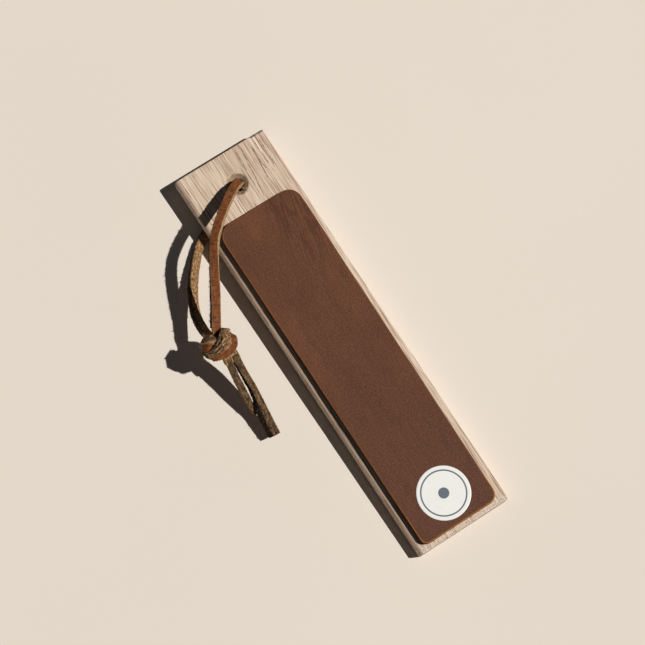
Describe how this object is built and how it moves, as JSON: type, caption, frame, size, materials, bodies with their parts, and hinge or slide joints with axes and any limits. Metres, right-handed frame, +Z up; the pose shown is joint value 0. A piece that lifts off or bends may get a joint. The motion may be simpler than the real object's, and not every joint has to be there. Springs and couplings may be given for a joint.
{
  "type": "leather strop",
  "caption": "Flat hardwood hand strop faced with a glued leather pad, with a knotted leather lace looped through a countersunk hole at one end.",
  "frame": {"origin": "on the surface that the strop lies on, under the middle of the board's box", "axes": "+X towards the hole end, along the board; +Y towards the side on which the lace leaves the board; +Z up"},
  "size_m": [0.2142, 0.0853, 0.0324],
  "materials": {
    "timber": "bare, finely sanded",
    "glue": "dried contact adhesive",
    "pad_leather": "dressed brown grain side, satin",
    "lace_leather": "smooth tan grain side, rough pale flesh side, raw cut edges",
    "label": "satin vinyl sticker"
  },
  "bodies": {
    "paddle": {"timber_board": "timber", "glue_layer": "glue", "stropping_leather": "pad_leather", "round_label": "label"},
    "lace": {"lace_upper_strand": "lace_leather", "lace_lower_strand": "lace_leather", "lace_knot": "lace_leather", "lace_long_tail": "lace_leather", "lace_short_tail": "lace_leather"}
  },
  "joints": [
    {"name": "lace_swing", "type": "hinge", "parent": "paddle", "child": "lace", "pos_m": [0.09008, 0, 0.00812], "axis": [0.0209, 0, -0.9998], "range_deg": [0, 240]}
  ]
}
